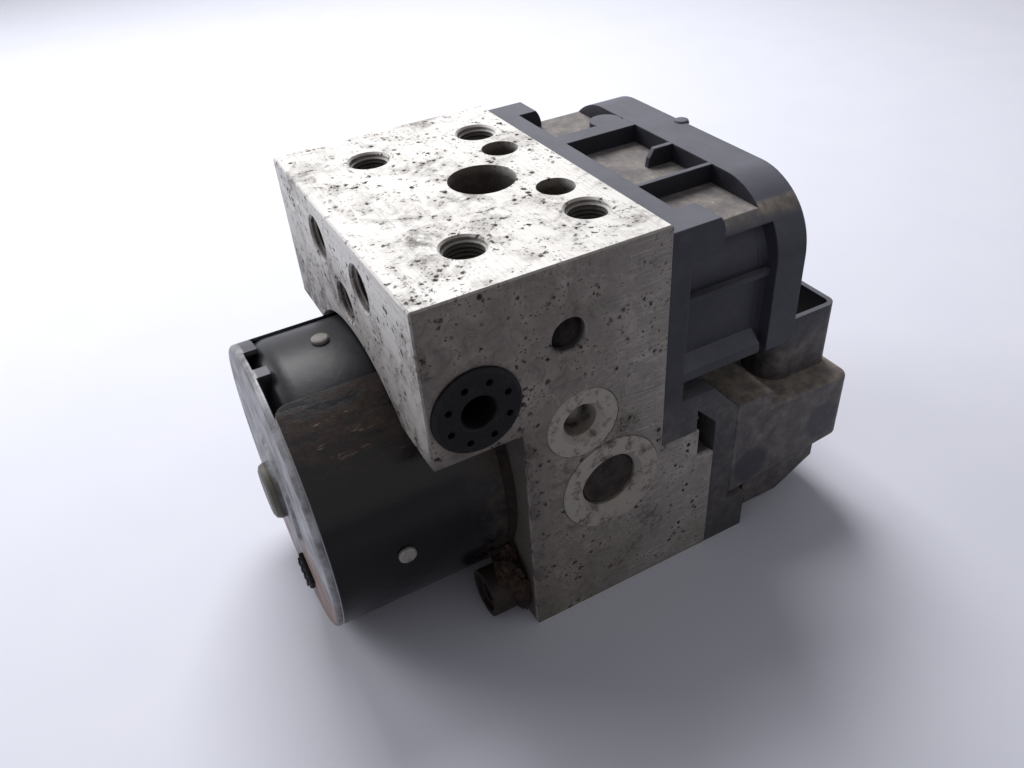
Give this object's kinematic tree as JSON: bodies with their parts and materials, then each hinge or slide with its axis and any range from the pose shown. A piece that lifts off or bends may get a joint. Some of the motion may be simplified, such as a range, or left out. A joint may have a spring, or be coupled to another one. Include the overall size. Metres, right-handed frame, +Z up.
{
  "type": "abs brake module",
  "caption": "Hydraulic brake control module: machined aluminium valve block with round pump motor, rubber bushes and ribbed plastic control unit with open connector socket",
  "frame": {"origin": "middle of the bounding box in X and Y, on the flat base", "axes": "X across the block between the two rubber bushes, Y from the motor to the connector, Z up through the pipe ports"},
  "size_m": [0.0918, 0.1554, 0.106],
  "materials": {
    "aluminium_block": "machined, bare, dirty and pitted",
    "bush_rubber": "moulded black rubber",
    "plug_steel": "turned, dull",
    "hardened_steel": "ground steel",
    "piston_aluminium": "turned",
    "zinc_steel": "zinc plated sheet and screws",
    "black_paint": "gloss black paint over sheet steel",
    "cast_flange": "die cast, dirty",
    "coil_copper": "enamelled copper",
    "coil_plastic": "moulded bobbin plastic",
    "core_steel": "laminated steel",
    "ferrite": "ferrite and carbon",
    "ecu_plastic": "moulded dark blue grey plastic, dusty",
    "board": "fibre glass board",
    "seal_rubber": "silicone rubber",
    "pin_brass": "tinned brass"
  },
  "bodies": {
    "module": {"valve_block": "aluminium_block", "mounting_bushes": "bush_rubber", "damper_plugs": "plug_steel", "pump_plug_rings": "plug_steel", "pump_plugs": "plug_steel", "damper_balls": "plug_steel", "pump_sleeves": "hardened_steel", "pump_spring_left": "hardened_steel", "pump_spring_right": "hardened_steel", "accumulator_spring_left": "hardened_steel", "accumulator_spring_right": "hardened_steel", "brush_springs": "hardened_steel", "rear_bearing": "hardened_steel", "front_bearing": "hardened_steel", "tail_bearing": "hardened_steel", "inlet_valves": "hardened_steel", "outlet_valves": "hardened_steel", "motor_end_plate": "zinc_steel", "accumulator_covers": "zinc_steel", "motor_screws": "zinc_steel", "ecu_screws": "zinc_steel", "motor_rivets": "zinc_steel", "motor_can": "black_paint", "flux_ring": "black_paint", "motor_flange": "cast_flange", "solenoid_coils": "coil_plastic", "brush_card": "coil_plastic", "motor_lead": "coil_plastic", "magnets": "ferrite", "brushes": "ferrite", "ecu_housing": "ecu_plastic", "ecu_cover": "ecu_plastic", "circuit_board": "board", "ecu_seal": "seal_rubber", "connector_pins": "pin_brass"},
    "rotor": {"shaft": "hardened_steel", "eccentric_ring": "hardened_steel", "commutator": "coil_copper", "armature_core": "core_steel", "armature_windings": "coil_copper"},
    "pump_piston_left_body": {"pump_piston_left": "hardened_steel"},
    "pump_piston_right_body": {"pump_piston_right": "hardened_steel"},
    "accumulator_piston_left_body": {"accumulator_piston_left": "piston_aluminium"},
    "accumulator_piston_right_body": {"accumulator_piston_right": "piston_aluminium"}
  },
  "joints": [
    {"name": "rotor_spin", "type": "hinge", "parent": "module", "child": "rotor", "pos_m": [0, -0.00235, 0.0392], "axis": [0, 1, 0], "continuous": true},
    {"name": "pump_piston_left_slide", "type": "slide", "parent": "module", "child": "pump_piston_left_body", "axis": [-1, 0, 0], "range_m": [0, 0.0006], "stiffness_N_per_m": 500, "springref_m": -0.004, "deforming": ["pump_spring_left"]},
    {"name": "pump_piston_right_slide", "type": "slide", "parent": "module", "child": "pump_piston_right_body", "axis": [1, 0, 0], "range_m": [0, 0.0006], "stiffness_N_per_m": 500, "springref_m": -0.004, "deforming": ["pump_spring_right"]},
    {"name": "accumulator_piston_left_slide", "type": "slide", "parent": "module", "child": "accumulator_piston_left_body", "axis": [0, 0, -1], "range_m": [0, 0.006], "stiffness_N_per_m": 1500, "springref_m": -0.004, "deforming": ["accumulator_spring_left"]},
    {"name": "accumulator_piston_right_slide", "type": "slide", "parent": "module", "child": "accumulator_piston_right_body", "axis": [0, 0, -1], "range_m": [0, 0.006], "stiffness_N_per_m": 1500, "springref_m": -0.004, "deforming": ["accumulator_spring_right"]}
  ]
}
